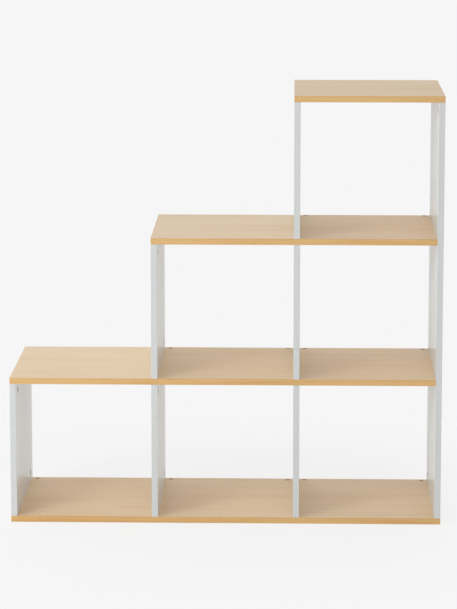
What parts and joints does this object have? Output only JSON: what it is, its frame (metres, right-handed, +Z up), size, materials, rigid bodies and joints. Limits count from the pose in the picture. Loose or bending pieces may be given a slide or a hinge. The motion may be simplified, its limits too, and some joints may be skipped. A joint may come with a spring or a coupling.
{
  "type": "staircase bookshelf",
  "caption": "Free-standing stepped bookshelf of open square cubbies, with white upright panels and wood-decor boards held by cam locks and dowels.",
  "frame": {"origin": "middle of the base's underside, where it stands on the floor", "axes": "+Z up, -Y towards the front, +X towards the tall side, so the steps climb along +X"},
  "size_m": [1.05, 0.39, 1.05],
  "materials": {
    "wood_decor": "satin printed wood decor on particle board",
    "white_melamine": "satin white melamine on particle board",
    "wood_edge_band": "satin printed wood edge band",
    "white_edge_band": "satin white edge band",
    "cam_zinc": "dull die-cast zinc",
    "bolt_steel": "zinc-plated steel",
    "dowel_wood": "raw beech",
    "plug_plastic": "matt wood-brown moulded plastic",
    "bracket_steel": "zinc-plated steel",
    "screw_steel": "zinc-plated steel"
  },
  "bodies": {
    "root": {"base_board": "wood_decor", "lower_shelf": "wood_decor", "upper_shelf": "wood_decor", "top_board": "wood_decor", "left_end_panel": "white_melamine", "lower_left_divider": "white_melamine", "lower_right_divider": "white_melamine", "middle_end_panel": "white_melamine", "middle_divider": "white_melamine", "upper_end_panel": "white_melamine", "right_side_panel": "white_melamine", "base_board_front_band": "wood_edge_band", "base_board_rear_band": "wood_edge_band", "base_board_left_band": "wood_edge_band", "base_board_right_band": "wood_edge_band", "lower_shelf_front_band": "wood_edge_band", "lower_shelf_rear_band": "wood_edge_band", "lower_shelf_left_band": "wood_edge_band", "upper_shelf_front_band": "wood_edge_band", "upper_shelf_rear_band": "wood_edge_band", "upper_shelf_left_band": "wood_edge_band", "top_board_front_band": "wood_edge_band", "top_board_rear_band": "wood_edge_band", "top_board_left_band": "wood_edge_band", "top_board_right_band": "wood_edge_band", "left_end_panel_front_band": "white_edge_band", "left_end_panel_rear_band": "white_edge_band", "lower_left_divider_front_band": "white_edge_band", "lower_left_divider_rear_band": "white_edge_band", "lower_right_divider_front_band": "white_edge_band", "lower_right_divider_rear_band": "white_edge_band", "middle_end_panel_front_band": "white_edge_band", "middle_end_panel_rear_band": "white_edge_band", "middle_divider_front_band": "white_edge_band", "middle_divider_rear_band": "white_edge_band", "upper_end_panel_front_band": "white_edge_band", "upper_end_panel_rear_band": "white_edge_band", "right_side_panel_front_band": "white_edge_band", "right_side_panel_rear_band": "white_edge_band", "cam_locks": "cam_zinc", "cam_bolts": "bolt_steel", "wood_dowels": "dowel_wood", "rear_hole_plugs": "plug_plastic", "wall_bracket": "bracket_steel", "wall_bracket_screws": "screw_steel"}
  },
  "joints": []
}
